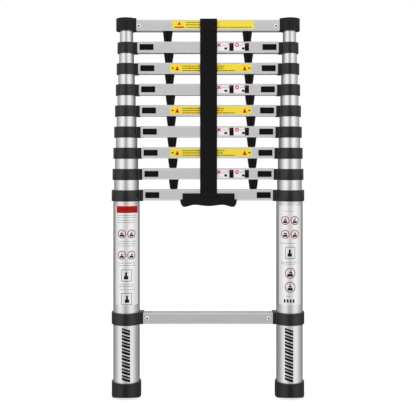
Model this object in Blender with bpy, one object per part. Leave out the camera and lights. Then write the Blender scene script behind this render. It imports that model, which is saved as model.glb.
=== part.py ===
"""Telescoping ladder, ten rungs, shown closed: nine nested tubes in each stile, a plastic collar
pair on each tube stage, hollow aluminium rungs with two sliding latches each, tapered finger-guard
spacers, a clip-on carry handle and a webbing strap. Metres, +Z up, origin on the ground midway
between the stiles, front face towards -Y. Rungs and stages are numbered from the top."""

import math

import bmesh
import bpy
from mathutils import Matrix, Vector

# ---------------------------------------------------------------- driving dimensions
STILE_X = 0.1992           # stile axis to the ladder's centre plane
STAGES = 9                 # tubes in each stile; 1 is the thinnest and highest, 9 the base tube
BASE_RUNG = STAGES + 1     # lowest rung, clamped on the base tube
TOP_DIAMETER = 0.0325      # outside, tube 1
DIAMETER_STEP = 0.004      # growth from one tube to the next
BASE_RUNG_Z = 0.192
RUNG_PITCH = 0.300         # rung spacing, extended
CLOSED_PITCH = 0.0513      # rung spacing, closed
TOP_PITCH = 0.0535         # between rungs 1 and 2, closed
RUNG_D, RUNG_H, RUNG_WALL = 0.032, 0.027, 0.002
BORE_Y = RUNG_D / 2 - RUNG_WALL     # half depth and half height of the rung's hollow
BORE_Z = RUNG_H / 2 - RUNG_WALL
BOSS_REACH = 0.0093        # from a tube's surface to the face the rung butts on
CAP_FACE = 0.0250          # the same face on a top cap, from the stile's axis
CAP_ROOF = 0.0131          # inside top of the cap, above the rung's centre
PLUG_DROP = 0.0065         # a tube's upper end lies this far below its rung's centre
FOOT_FLOOR = 0.012         # inside bottom of the foot
PIN_R = 0.004              # latch pin
GAP = 0.0003               # working gap between pieces that touch on the real ladder
WRAP_GAP = 0.0004          # gap round a rung inside the strap and the handle
SIDES = 24                 # facets round each tube
PIN_SIDES = 10
STILES = (-1, 1)           # left, right

# How far the cutting helpers run past what they cut.
OVERCUT = 0.01
BORE_OVERCUT = 0.03        # above or below the rung's centre
WALL_OVERCUT = 0.001       # beyond a rung wall's inner face
HOLE_IN = 0.006            # latch holes, inwards from the tube's surface


def tube_r(stage):
    return (TOP_DIAMETER + DIAMETER_STEP * (stage - 1)) / 2


def rung_z(number):
    if number == BASE_RUNG:
        return BASE_RUNG_Z
    z = BASE_RUNG_Z + RUNG_PITCH + CLOSED_PITCH * (STAGES - max(number, 2))
    return z + TOP_PITCH if number == 1 else z


def boss_face(number):
    """Distance from the stile's axis to the face the rung butts on."""
    return CAP_FACE if number == 1 else tube_r(min(number, STAGES)) + BOSS_REACH


def side_name(side, part):
    return ("left_" if side < 0 else "right_") + part


# ---------------------------------------------------------------- shapes
def add_object(shape, name, mat=None, smooth=False):
    bmesh.ops.recalc_face_normals(shape, faces=shape.faces)
    mesh = bpy.data.meshes.new(name)
    shape.to_mesh(mesh)
    shape.free()
    if smooth:
        mesh.shade_smooth()
        mesh.set_sharp_from_angle(angle=math.radians(35))
    if mat:
        mesh.materials.append(mat)
    obj = bpy.data.objects.new(name, mesh)
    bpy.context.scene.collection.objects.link(obj)
    return obj


def circle(radius, sides):
    """Points round the origin, starting half a facet past the first axis."""
    angles = ((i + 0.5) * 2 * math.pi / sides for i in range(sides))
    return [(radius * math.cos(a), radius * math.sin(a)) for a in angles]


def lathe(profile, centre, sides=SIDES):
    """A closed (radius, height) profile turned about +Z. A zero radius is a point on the axis."""
    shape = bmesh.new()
    cx, cy, cz = centre
    rows = []
    for radius, z in profile:
        ring = circle(radius, sides) if radius > 0 else [(0, 0)]
        rows.append([shape.verts.new((cx + x, cy + y, cz + z)) for x, y in ring])
    for row, following in zip(rows, rows[1:] + rows[:1]):
        for i in range(sides):
            j = (i + 1) % sides
            loop = [row[i % len(row)], row[j % len(row)],
                    following[j % len(following)], following[i % len(following)]]
            corners = list(dict.fromkeys(loop))
            if len(corners) > 2:
                shape.faces.new(corners)
    return shape


def solid_profile(radius, low, high):
    """Lathe profile of a plain cylinder."""
    return [(0, low), (radius, low), (radius, high), (0, high)]


def box(low, high):
    shape = bmesh.new()
    bmesh.ops.create_cube(shape, size=1)
    size = [b - a for a, b in zip(low, high)]
    middle = [(b + a) / 2 for a, b in zip(low, high)]
    matrix = Matrix.Translation(middle) @ Matrix.Diagonal((*size, 1))
    bmesh.ops.transform(shape, matrix=matrix, verts=shape.verts)
    return shape


def stile_span(side, reach):
    """Ascending X of two distances measured inwards from a stile's axis."""
    return sorted(side * STILE_X - side * distance for distance in reach)


def stile_box(side, reach, y_span, z_span):
    x0, x1 = stile_span(side, reach)
    return box((x0, y_span[0], z_span[0]), (x1, y_span[1], z_span[1]))


def extrude(outline, along, start, end):
    """A closed outline carried along "X", where it is (y, z), or along "Y", where it is (x, z)."""
    shape = bmesh.new()
    if along == "X":
        corners = [(start, y, z) for y, z in outline]
        travel = (end - start, 0, 0)
    else:
        corners = [(x, start, z) for x, z in outline]
        travel = (0, end - start, 0)
    face = shape.faces.new([shape.verts.new(corner) for corner in corners])
    moved = bmesh.ops.extrude_face_region(shape, geom=[face])["geom"]
    verts = [item for item in moved if isinstance(item, bmesh.types.BMVert)]
    bmesh.ops.translate(shape, vec=travel, verts=verts)
    return shape


def pin_rod(x0, x1, z, radius):
    """A round rod along X, on the stiles' plane."""
    outline = [(dy, z + dz) for dy, dz in circle(radius, PIN_SIDES)]
    return extrude(outline, "X", x0, x1)


def helper(shape, name):
    obj = add_object(shape, name)
    obj.hide_render = True
    obj.display_type = "WIRE"
    return obj


def boolean(obj, tools, operation):
    """Joins or cuts with all of these helpers in one exact operation."""
    group = bpy.data.collections.new(f"{operation.lower()}_{obj.name}")
    for tool in tools:
        group.objects.link(tool)
    modifier = obj.modifiers.new(operation.lower(), "BOOLEAN")
    modifier.operand_type = "COLLECTION"
    modifier.collection = group
    modifier.operation = operation
    modifier.solver = "EXACT"


def place(obj, empty, origin):
    """Moves the object's origin to a joint or seat point and hangs it from its stage's empty."""
    obj.data.transform(Matrix.Translation(-Vector(origin)))
    obj.location = Vector(origin) - empty.location
    obj.parent = empty


def frame_empty(name, z):
    empty = bpy.data.objects.new(name, None)
    empty.location = (0, 0, z)
    bpy.context.scene.collection.objects.link(empty)
    return empty


# ---------------------------------------------------------------- tubes
TUBE_WALL = 0.0014
TUBE_LENGTH = 0.375        # rung centre to tube foot, on stages 1 to 8
HOLE_GAP = 0.0005          # latch hole in a tube, round the pin
HOLE_OUT = 0.004           # hole cutter, outwards from the tube's surface


def tube(stage, side, mat):
    """One tube. Stages 1 to 8 carry two latch holes on the side that faces the rungs: the lower
    takes the pin of the stage below when extended, the upper takes the same pin when closed."""
    radius, z = tube_r(stage), rung_z(stage)
    top = z + CAP_ROOF - GAP if stage == 1 else z - PLUG_DROP
    low = FOOT_FLOOR + GAP if stage == STAGES else z - TUBE_LENGTH
    inside = radius - TUBE_WALL
    profile = [(radius, low), (radius, top), (inside, top), (inside, low)]
    name = side_name(side, f"tube_{stage}")
    obj = add_object(lathe(profile, (side * STILE_X, 0, 0)), name, mat, smooth=True)
    if stage < STAGES:
        x0 = side * (STILE_X - radius - HOLE_OUT)
        x1 = side * (STILE_X - radius + HOLE_IN)
        holes = (("lock", z - RUNG_PITCH), ("closed", rung_z(stage + 1)))
        boolean(obj, [
            helper(pin_rod(x0, x1, hole_z, PIN_R + HOLE_GAP), f"cut_{name}_{label}")
            for label, hole_z in holes
        ], "DIFFERENCE")
    return obj


# ---------------------------------------------------------------- rungs
TREAD_BEVEL, LOWER_BEVEL, BORE_BEVEL = 0.0020, 0.0035, 0.0020
GROOVES, GROOVE_DEPTH = 5, 0.0008   # in the tread
WINDOW_W, WINDOW_H = 0.034, 0.0145  # latch window in the front wall
WINDOW_IN = 0.0055                  # from the rung's end to the window
SPACER_IN = 0.0759                  # left spacer from the left boss
SPACER_SPAN = 0.1943                # left spacer to right spacer
NECK_HOLE_R = 0.0058                # hole under the rung for a spacer's neck


def spacer_x(number, side):
    """X of a spacer under a rung. Both are set out from the rung's left end."""
    left = -(STILE_X - boss_face(number) - SPACER_IN)
    return left if side < 0 else left + SPACER_SPAN


def trough(half_depth, half_height, top, bevel):
    """(y, z) points down the front, across the bevelled underside and up the back."""
    d, h = half_depth, half_height
    return [(-d, top), (-d, -h + bevel), (-d + bevel, -h),
            (d - bevel, -h), (d, -h + bevel), (d, top)]


def rung_outline():
    """(y, z): flat front and back, wide bevels underneath, and a grooved tread."""
    half_height = RUNG_H / 2
    points = trough(RUNG_D / 2, half_height, half_height - TREAD_BEVEL, LOWER_BEVEL)
    edge = RUNG_D / 2 - TREAD_BEVEL
    bands = 2 * GROOVES + 1
    pitch = 2 * edge / bands
    for i in range(bands):
        level = half_height - (GROOVE_DEPTH if i % 2 else 0)
        points += [(edge - i * pitch, level), (edge - (i + 1) * pitch, level)]
    return points


def rung(number, mat):
    face, rung_centre = boss_face(number), rung_z(number)
    half = STILE_X - face - GAP

    def bar(outline, half_length):
        raised = [(y, z + rung_centre) for y, z in outline]
        return extrude(raised, "X", -half_length, half_length)

    obj = add_object(bar(rung_outline(), half), f"rung_{number}", mat)
    bore = bar(trough(BORE_Y, BORE_Z, BORE_Z, BORE_BEVEL), half + OVERCUT)
    cuts = [helper(bore, f"cut_rung_{number}_bore")]
    for side in STILES:
        if 2 <= number <= STAGES:
            start = face + WINDOW_IN
            window = stile_box(side, (start, start + WINDOW_W), (-RUNG_D, -BORE_Y + WALL_OVERCUT),
                               (rung_centre - WINDOW_H / 2, rung_centre + WINDOW_H / 2))
            cuts.append(helper(window, f"cut_rung_{number}_window_{side + 1}"))
        if number < STAGES:
            profile = solid_profile(NECK_HOLE_R, -RUNG_H, -BORE_Z + WALL_OVERCUT)
            neck = lathe(profile, (spacer_x(number, side), 0, rung_centre), 8)
            cuts.append(helper(neck, f"cut_rung_{number}_neck_{side + 1}"))
    boolean(obj, cuts, "DIFFERENCE")
    return obj


# ---------------------------------------------------------------- collars, caps and clamps
COLLAR_H, COLLAR_DROP = 0.027, 0.0012   # a collar sits a little lower than its rung
COLLAR_WALL = 0.004                     # collar outside the tube it holds
CAP_R, CAP_UP, CAP_DOWN = 0.0248, 0.0174, 0.0131
CLAMP_H, CLAMP_RISE = 0.029, 0.001
SLIDE_GAP = 0.0005                      # round the tube of the stage above
PIN_GAP = 0.0004                        # round the latch pin
PIN_HOLE_PAST = 0.003                   # pin hole cutter, past the boss face
BOSS_START = 0.0017                     # from the stile's axis
BOSS_HALF_D = 0.0157
BOSS_INSET = 0.0003                     # boss, below and above the collar's ends
# Y and Z ranges, Z from the rung's centre
SPINE_Y, SPINE_Z = (-0.005, 0.0112), (-0.0109, -0.0064)
SPIGOT_Y, SPIGOT_Z = (0.0055, 0.0131), (-0.0097, 0.0107)
SPINE_BITE = 0.005                      # spine into the boss
SPIGOT_BITE, SPIGOT_REACH = 0.0062, 0.014   # behind and past the boss face
SPACER_TOP_R, SPACER_LOW_R = 0.0122, 0.0090
SPACER_NECK_R, SPACER_NECK_TOP = 0.0052, -0.0095
SPACER_REST_GAP = 0.0005                # spacer above the next rung


def collar_size(number):
    """Outside radius, and height above and below the rung's centre."""
    if number == 1:
        return CAP_R, CAP_UP, CAP_DOWN
    outer = tube_r(min(number, STAGES)) + COLLAR_WALL
    if number == BASE_RUNG:
        return outer, CLAMP_H / 2 + CLAMP_RISE, CLAMP_H / 2 - CLAMP_RISE
    return outer, COLLAR_H / 2 - COLLAR_DROP, COLLAR_H / 2 + COLLAR_DROP


def collar_bore(number):
    """Blind in a cap, plain in a clamp, and stepped over the tube's end in a collar."""
    radius = tube_r(min(number, STAGES)) + GAP
    if number == 1:
        return solid_profile(radius, -BORE_OVERCUT, CAP_ROOF)
    if number == BASE_RUNG:
        return solid_profile(radius, -BORE_OVERCUT, BORE_OVERCUT)
    above, shoulder = tube_r(number - 1) + SLIDE_GAP, -PLUG_DROP + GAP
    return [(0, -BORE_OVERCUT), (radius, -BORE_OVERCUT), (radius, shoulder),
            (above, shoulder), (above, BORE_OVERCUT), (0, BORE_OVERCUT)]


def spacer_profile(number):
    """A cone that narrows downwards, with a neck up through the rung's floor to the spine."""
    top = -RUNG_H / 2 - GAP
    low = rung_z(number + 1) - rung_z(number) + RUNG_H / 2 + SPACER_REST_GAP
    return [(0, SPACER_NECK_TOP), (SPACER_NECK_R, SPACER_NECK_TOP), (SPACER_NECK_R, top),
            (SPACER_TOP_R, top), (SPACER_LOW_R, low), (0, low)]


def carrier(number, mat, name):
    """The moulding that holds one rung: a collar on each stile, a spine through the hollow rung,
    and the two tapered spacers that keep the rungs a finger's width apart."""
    z, face = rung_z(number), boss_face(number)
    outer, up, down = collar_size(number)
    spine_x = STILE_X - face + SPINE_BITE
    spine = box((-spine_x, SPINE_Y[0], z + SPINE_Z[0]), (spine_x, SPINE_Y[1], z + SPINE_Z[1]))
    obj = add_object(spine, name, mat)
    joins, cuts = [], []
    for side in STILES:
        label = f"{name}_{side + 1}"
        centre = (side * STILE_X, 0, z)
        ring = lathe(solid_profile(outer, -down, up), centre)
        joins.append(helper(ring, "join_ring_" + label))
        boss = stile_box(side, (BOSS_START, face), (-BOSS_HALF_D, BOSS_HALF_D),
                         (z - down + BOSS_INSET, z + up - BOSS_INSET))
        joins.append(helper(boss, "join_boss_" + label))
        spigot = stile_box(side, (face - SPIGOT_BITE, face + SPIGOT_REACH), SPIGOT_Y,
                           (z + SPIGOT_Z[0], z + SPIGOT_Z[1]))
        joins.append(helper(spigot, "join_spigot_" + label))
        if number < STAGES:
            spacer = lathe(spacer_profile(number), (spacer_x(number, side), 0, z), 12)
            joins.append(helper(spacer, "join_spacer_" + label))
        cuts.append(helper(lathe(collar_bore(number), centre), "cut_bore_" + label))
        if 2 <= number <= STAGES:
            x0, x1 = stile_span(side, (tube_r(number) - HOLE_IN, face + PIN_HOLE_PAST))
            pin_hole = pin_rod(x0, x1, z, PIN_R + PIN_GAP)
            cuts.append(helper(pin_hole, "cut_pin_" + label))
    boolean(obj, joins, "UNION")
    boolean(obj, cuts, "DIFFERENCE")
    return obj


# ---------------------------------------------------------------- latches
# Each part: reach from the boss face towards the ladder's middle, Y range, half height
LATCH_PLATE = ((0.003, 0.042), (-0.0136, -0.0114), 0.0090)
LATCH_PAD = ((0.011, 0.032), (-0.0174, -0.0119), 0.0066)
LATCH_WEB = ((0.006, 0.014), (-0.0130, 0.003), 0.0036)
PIN_END = 0.013            # pin's inner end, from the boss face
PIN_TIP_GAP = 0.0004       # pin's tip to the tube of the stage above


def latch(stage, side, mat):
    """A sliding latch: thumb pad in the window, plate behind the rung's front wall, and the round
    pin that runs through the collar, at rest against the tube of the stage above."""
    z, face = rung_z(stage), boss_face(stage)
    name = side_name(side, f"latch_{stage}")

    def block(part):
        (start, end), y_span, half = part
        return stile_box(side, (face + start, face + end), y_span, (z - half, z + half))

    obj = add_object(block(LATCH_PLATE), name, mat)
    x0, x1 = stile_span(side, (tube_r(stage - 1) + PIN_TIP_GAP, face + PIN_END))
    parts = (("pad", block(LATCH_PAD)), ("web", block(LATCH_WEB)),
             ("pin", pin_rod(x0, x1, z, PIN_R)))
    boolean(obj, [helper(shape, f"join_{part}_{name}") for part, shape in parts], "UNION")
    return obj


# ---------------------------------------------------------------- feet
FOOT_R, FOOT_H = 0.0360, 0.0387
SOLE_HALF, SOLE_RISE = 0.014, 0.0095    # flat half depth, and rise at front and back
SOLE_CUT_HALF = 0.06                    # sole cutter's half width


def foot(side, mat):
    """A rubber cup. Its sole is flat in the middle and rises to the front and back, so it still
    bears when the ladder leans."""
    inside = tube_r(STAGES) + GAP
    axis = side * STILE_X
    name = side_name(side, "foot")
    profile = [(0, 0), (FOOT_R, 0), (FOOT_R, FOOT_H), (inside, FOOT_H),
               (inside, FOOT_FLOOR), (0, FOOT_FLOOR)]
    obj = add_object(lathe(profile, (axis, 0, 0)), name, mat, smooth=True)
    far_y = FOOT_R + OVERCUT
    far_z = SOLE_RISE / (FOOT_R - SOLE_HALF) * (far_y - SOLE_HALF)
    cuts = []
    for end in (-1, 1):
        wedge = [(end * SOLE_HALF, 0), (end * far_y, far_z),
                 (end * far_y, -OVERCUT), (end * SOLE_HALF, -OVERCUT)]
        cut = extrude(wedge, "X", axis - SOLE_CUT_HALF, axis + SOLE_CUT_HALF)
        cuts.append(helper(cut, f"cut_{name}_{end + 1}"))
    boolean(obj, cuts, "DIFFERENCE")
    return obj


# ---------------------------------------------------------------- carry handle
# X from the handle's middle, Z from the rung's centre
HOLLOW_X, DROOP_X, GRIP_HALF = 0.0345, 0.0595, 0.0700
PALM_Z, HOLLOW_Z, DROOP_Z = -0.0269, -0.0239, -0.0289
SHOULDER_Z = -0.0115       # top of the grip's ends
CLIP_HALF, CLIP_TOP = 0.0632, 0.0045
HANDLE_HALF_D = 0.0185
CHANNEL_HALF = 0.1         # channel cutter's half length
EDGE_STEPS, CORNER_STEPS = 12, 5


def grip_edge(x):
    """Z of the grip's underside: a palm swell, a finger hollow and a drooping end."""
    if x <= HOLLOW_X:
        x0, x1, z0, z1 = 0, HOLLOW_X, PALM_Z, HOLLOW_Z
    else:
        x0, x1, z0, z1 = HOLLOW_X, DROOP_X, HOLLOW_Z, DROOP_Z
    return (z0 + z1) / 2 + (z0 - z1) / 2 * math.cos(math.pi * (x - x0) / (x1 - x0))


def handle(mat):
    """A grip that clips round rung 9: a thin plate in front and behind, and a finger-shaped bar
    underneath."""
    rung_centre = rung_z(STAGES)
    stations = [i * DROOP_X / EDGE_STEPS for i in range(1, EDGE_STEPS + 1)]
    half = [(x, grip_edge(x)) for x in stations]
    for i in range(1, CORNER_STEPS + 1):
        angle = i * math.pi / (2 * CORNER_STEPS)
        half.append((DROOP_X + (GRIP_HALF - DROOP_X) * math.sin(angle),
                     SHOULDER_Z + (DROOP_Z - SHOULDER_Z) * math.cos(angle)))
    half += [(CLIP_HALF, SHOULDER_Z), (CLIP_HALF, CLIP_TOP)]
    points = [(0, PALM_Z)] + half + [(-x, z) for x, z in reversed(half)]
    outline = [(x, rung_centre + z) for x, z in points]
    obj = add_object(extrude(outline, "Y", -HANDLE_HALF_D, HANDLE_HALF_D), "carry_handle", mat)
    y = RUNG_D / 2 + WRAP_GAP
    channel = box((-CHANNEL_HALF, -y, rung_centre - RUNG_H / 2 - GAP),
                  (CHANNEL_HALF, y, rung_centre + BORE_OVERCUT))
    boolean(obj, [helper(channel, "cut_handle_channel")], "DIFFERENCE")
    return obj


# ---------------------------------------------------------------- strap
STRAP_W, STRAP_T = 0.0420, 0.002
TAIL_Y = -(RUNG_D / 2 + 0.003)      # back face of the tail
TAIL_TOP, TAIL_SEAT = 0.0145, 0.0135    # top end and origin, above rung 1's centre
TAIL_LOW = 0.006                    # low end, below rung 9's centre


def strap_loop(mat):
    """Webbing sewn round the top rung."""
    rung_centre = rung_z(1)

    def sleeve(half_width, grow):
        y, z = RUNG_D / 2 + WRAP_GAP + grow, RUNG_H / 2 + WRAP_GAP + grow
        return box((-half_width, -y, rung_centre - z), (half_width, y, rung_centre + z))

    obj = add_object(sleeve(STRAP_W / 2, STRAP_T), "strap_loop", mat)
    boolean(obj, [helper(sleeve(STRAP_W, 0), "cut_strap_loop")], "DIFFERENCE")
    return obj


def strap_tail(mat):
    """The strap's long end, which hangs down the front and grips the carry handle by hook and
    loop tape."""
    low, high = rung_z(STAGES) - TAIL_LOW, rung_z(1) + TAIL_TOP
    tail = box((-STRAP_W / 2, TAIL_Y - STRAP_T, low), (STRAP_W / 2, TAIL_Y, high))
    return add_object(tail, "strap_tail", mat)


# ---------------------------------------------------------------- materials
def material(name, colour, roughness, metallic=0.0):
    mat = bpy.data.materials.new(name)
    mat.use_nodes = True
    inputs = mat.node_tree.nodes["Principled BSDF"].inputs
    inputs["Base Color"].default_value = (*colour, 1)
    inputs["Roughness"].default_value = roughness
    inputs["Metallic"].default_value = metallic
    return mat


# ---------------------------------------------------------------- the ladder
def main():
    for obj in list(bpy.data.objects):
        bpy.data.objects.remove(obj)
    tube_metal = material(
        "tube_aluminium", colour=(0.78, 0.79, 0.80), roughness=0.28, metallic=1.0)
    rung_metal = material(
        "rung_aluminium", colour=(0.62, 0.62, 0.62), roughness=0.42, metallic=1.0)
    plastic = material("black_plastic", colour=(0.035, 0.035, 0.036), roughness=0.45)
    latch_plastic = material("latch_plastic", colour=(0.018, 0.018, 0.02), roughness=0.5)
    rubber = material("foot_rubber", colour=(0.03, 0.03, 0.03), roughness=0.6)
    grip = material("handle_plastic", colour=(0.02, 0.02, 0.024), roughness=0.5)
    webbing = material("strap_webbing", colour=(0.018, 0.018, 0.018), roughness=0.85)

    frames = {stage: frame_empty(f"section_{stage}_frame", rung_z(stage))
              for stage in range(1, STAGES)}
    base = frames[STAGES] = frame_empty("base_frame", 0)
    pad_middle = sum(LATCH_PAD[0]) / 2
    for stage, frame in frames.items():
        z = rung_z(stage)
        for side in STILES:
            place(tube(stage, side, tube_metal), frame, (side * STILE_X, 0, z))
        place(rung(stage, rung_metal), frame, (0, 0, z))
        name = "top_caps" if stage == 1 else f"collars_{stage}"
        place(carrier(stage, plastic, name), frame, (0, 0, z))
        if stage > 1:
            latch_x = STILE_X - boss_face(stage) - pad_middle
            for side in STILES:
                place(latch(stage, side, latch_plastic), frame, (side * latch_x, 0, z))
    place(rung(BASE_RUNG, rung_metal), base, (0, 0, BASE_RUNG_Z))
    place(carrier(BASE_RUNG, plastic, "base_clamps"), base, (0, 0, BASE_RUNG_Z))
    for side in STILES:
        place(foot(side, rubber), base, (side * STILE_X, 0, 0))
    place(handle(grip), base, (0, 0, rung_z(STAGES)))
    place(strap_loop(webbing), frames[1], (0, 0, rung_z(1)))
    place(strap_tail(webbing), frames[1], (0, TAIL_Y - STRAP_T / 2, rung_z(1) + TAIL_SEAT))


main()
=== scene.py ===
"""Looks for the telescoping ladder: drawn aluminium tubes, extruded rungs, moulded collars, caps, latches and spacers,
rubber feet, a carry handle and a webbing strap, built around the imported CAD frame."""

import math
import random

import bmesh
import bpy
from mathutils import Matrix, Vector


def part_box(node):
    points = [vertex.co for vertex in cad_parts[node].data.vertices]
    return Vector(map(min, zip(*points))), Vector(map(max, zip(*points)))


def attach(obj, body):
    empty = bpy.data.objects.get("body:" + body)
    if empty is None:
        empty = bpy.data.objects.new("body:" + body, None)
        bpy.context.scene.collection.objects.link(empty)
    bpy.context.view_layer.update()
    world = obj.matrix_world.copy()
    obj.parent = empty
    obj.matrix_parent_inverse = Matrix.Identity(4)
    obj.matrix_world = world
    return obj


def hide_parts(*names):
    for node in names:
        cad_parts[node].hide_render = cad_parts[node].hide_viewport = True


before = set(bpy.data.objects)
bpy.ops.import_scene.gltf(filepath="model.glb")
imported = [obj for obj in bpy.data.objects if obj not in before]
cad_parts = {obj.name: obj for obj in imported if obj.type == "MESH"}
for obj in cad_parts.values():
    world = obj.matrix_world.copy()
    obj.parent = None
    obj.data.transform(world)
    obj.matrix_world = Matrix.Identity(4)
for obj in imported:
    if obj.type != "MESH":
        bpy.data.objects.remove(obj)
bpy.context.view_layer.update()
SIDES = ("left", "right")
LAST = 9                                  # the base tube's number
STAGE = {k: ("base" if k == LAST else f"stage_{k}") for k in range(1, LAST + 1)}


# ------------------------------------------------------------------ sizes, read from the frame
def mid(node):
    low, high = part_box(node)
    return (low + high) / 2


FACET = math.cos(math.pi / 24)            # the CAD tubes have 24 flats
TUBE_R = {k: (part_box(f"left_tube_{k}")[1].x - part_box(f"left_tube_{k}")[0].x) / 2 / FACET for k in range(1, LAST + 1)}
TUBE_X = mid("right_tube_5").x
RUNG_Z = {k: mid(f"rung_{k}").z for k in range(1, 11)}
RUNG_HALF = {k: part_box(f"rung_{k}")[1].x for k in range(1, 11)}
RUNG_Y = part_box("rung_5")[1].y            # half the rung's depth
RUNG_H = (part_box("rung_5")[1].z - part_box("rung_5")[0].z) / 2
GAP = 0.0003
FACE = {k: TUBE_X - RUNG_HALF[k] - GAP for k in range(1, 11)}   # stile axis to the face a rung butts on
WALL = 0.0014
COLLAR_UP, COLLAR_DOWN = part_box("collars_9")[1].z - RUNG_Z[9], RUNG_Z[9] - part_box("collars_9")[0].z
CLAMP_UP, CLAMP_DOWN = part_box("base_clamps")[1].z - RUNG_Z[10], RUNG_Z[10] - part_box("base_clamps")[0].z
COLLAR_WALL = (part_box("collars_9")[1].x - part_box("right_tube_9")[1].x) / FACET
CAP_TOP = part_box("top_caps")[1].z
CAP_BOTTOM = RUNG_Z[1] - 0.0131
CAP_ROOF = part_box("left_tube_1")[1].z + GAP
CAP_R = (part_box("top_caps")[1].x - TUBE_X) / FACET + 0.0005
FOOT_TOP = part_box("left_foot")[1].z
FOOT_R = (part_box("right_foot")[1].x - TUBE_X) / FACET


def spacer_x(k):
    """X of the two spacers under a rung. Both are set out from the rung's left end."""
    left = -(TUBE_X - FACE[k] - 0.0759)
    return left, left + 0.1943


# ------------------------------------------------------------------ node material helpers
class Nodes:
    """Short-hand for building one node material."""

    def __init__(self, name, roughness=0.5, metallic=0.0, specular=0.5):
        self.mat = bpy.data.materials.new(name)
        self.mat.use_nodes = True
        self.tree = self.mat.node_tree
        self.bsdf = self.tree.nodes["Principled BSDF"]
        self.bsdf.inputs["Roughness"].default_value = roughness
        self.bsdf.inputs["Metallic"].default_value = metallic
        self.bsdf.inputs["Specular IOR Level"].default_value = specular
        self.coords = self.add("ShaderNodeTexCoord").outputs["Object"]

    def add(self, kind, **settings):
        node = self.tree.nodes.new(kind)
        for key, value in settings.items():
            setattr(node, key, value)
        return node

    def link(self, a, b):
        self.tree.links.new(a, b)

    def scaled(self, scale, turn=(0, 0, 0)):
        m = self.add("ShaderNodeMapping")
        m.inputs["Scale"].default_value = scale
        m.inputs["Rotation"].default_value = turn
        self.link(self.coords, m.inputs["Vector"])
        return m.outputs["Vector"]

    def noise(self, scale, detail=4.0, rough=0.55, distort=0.0):
        n = self.add("ShaderNodeTexNoise")
        n.inputs["Scale"].default_value = 1.0
        n.inputs["Detail"].default_value = detail
        n.inputs["Roughness"].default_value = rough
        n.inputs["Distortion"].default_value = distort
        self.link(self.scaled(scale if isinstance(scale, tuple) else (scale,) * 3), n.inputs["Vector"])
        return n.outputs["Fac"]

    def ramp(self, fac, stops):
        r = self.add("ShaderNodeValToRGB")
        while len(r.color_ramp.elements) < len(stops):
            r.color_ramp.elements.new(0.5)
        for element, (at, colour) in zip(r.color_ramp.elements, stops):
            element.position = at
            element.color = (*colour, 1) if isinstance(colour, tuple) else (colour, colour, colour, 1)
        self.link(fac, r.inputs["Fac"])
        return r.outputs["Color"]

    def math(self, op, a, b=None, c=None, clamp=False):
        n = self.add("ShaderNodeMath", operation=op, use_clamp=clamp)
        for socket, value in zip(n.inputs, (a, b, c)):
            if value is None:
                continue
            if isinstance(value, (int, float)):
                socket.default_value = value
            else:
                self.link(value, socket)
        return n.outputs[0]

    def axis(self, index):
        s = self.add("ShaderNodeSeparateXYZ")
        self.link(self.coords, s.inputs[0])
        return s.outputs[index]

    def mix(self, fac, a, b):
        n = self.add("ShaderNodeMix", data_type="RGBA")
        for socket, value in ((n.inputs["Factor"], fac), (n.inputs[6], a), (n.inputs[7], b)):
            if isinstance(value, (int, float)):
                socket.default_value = value
            elif isinstance(value, tuple):
                socket.default_value = (*value, 1)
            else:
                self.link(value, socket)
        return n.outputs[2]

    def colour(self, value):
        if isinstance(value, tuple):
            self.bsdf.inputs["Base Color"].default_value = (*value, 1)
        else:
            self.link(value, self.bsdf.inputs["Base Color"])

    def roughness(self, fac, low, high):
        self.link(self.math("MULTIPLY_ADD", fac, high - low, low), self.bsdf.inputs["Roughness"])

    def bump(self, height, strength, distance, under=None):
        b = self.add("ShaderNodeBump")
        b.inputs["Strength"].default_value = strength
        b.inputs["Distance"].default_value = distance
        self.link(height, b.inputs["Height"])
        if under is not None:
            self.link(under, b.inputs["Normal"])
        self.link(b.outputs["Normal"], self.bsdf.inputs["Normal"])
        return b.outputs["Normal"]


def drawn_tube(name, low, high, tone):
    """Clear anodised tube: long draw lines, a soft satin sheen and faint rub marks from sliding."""
    n = Nodes(name, metallic=1.0)
    lines = n.noise((900, 900, 6), detail=3)
    cloud = n.noise((14, 14, 5), detail=3)
    n.colour(n.mix(n.math("MULTIPLY", lines, 0.5), n.ramp(cloud, [(0.3, 0.84 * tone), (0.75, 0.90 * tone)]),
                   (0.80 * tone, 0.80 * tone, 0.805 * tone)))
    rub = n.ramp(n.noise((260, 260, 11), detail=2), [(0.60, 0.0), (0.74, 1.0)])
    n.roughness(n.math("ADD", n.math("MULTIPLY", lines, 0.7), n.math("MULTIPLY", rub, 0.35)), low, high)
    n.bump(n.math("ADD", lines, n.math("MULTIPLY", rub, 0.4)), 0.22, 0.00006)
    return n.mat


def extruded_rung(name, tone):
    """Matt anodised extrusion with fine lines along the rung."""
    n = Nodes(name, metallic=1.0)
    lines = n.noise((7, 1500, 1500), detail=3)
    cloud = n.noise((22, 60, 60), detail=3)
    n.colour(n.mix(n.math("MULTIPLY", lines, 0.6), n.ramp(cloud, [(0.3, tone), (0.75, tone * 1.06)]), (tone * 0.92,) * 3))
    n.roughness(n.math("ADD", n.math("MULTIPLY", lines, 0.6), n.math("MULTIPLY", cloud, 0.3)), 0.42, 0.56)
    n.bump(lines, 0.25, 0.00007)
    return n.mat


def moulded(name, dark, light, rough, grain=1700, strength=0.18, specular=0.5):
    """Moulded black plastic: fine spark-eroded grain with a speckle of darker tone that follows it, and faint flow
    marks.
    """
    n = Nodes(name, specular=specular)
    fine = n.noise(grain, detail=2)
    flow = n.noise((35, 35, 90), detail=4, distort=0.6)
    n.colour(n.mix(n.math("MULTIPLY", fine, 0.35), n.ramp(flow, [(0.3, (dark, dark, dark * 1.03)), (0.8, (light, light, light * 1.02))]),
                   (dark * 0.7,) * 3))
    n.roughness(n.math("ADD", n.math("MULTIPLY", flow, 0.6), n.math("MULTIPLY", fine, 0.4)), rough - 0.07, rough + 0.09)
    n.bump(fine, strength, 0.00008)
    return n.mat


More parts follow.
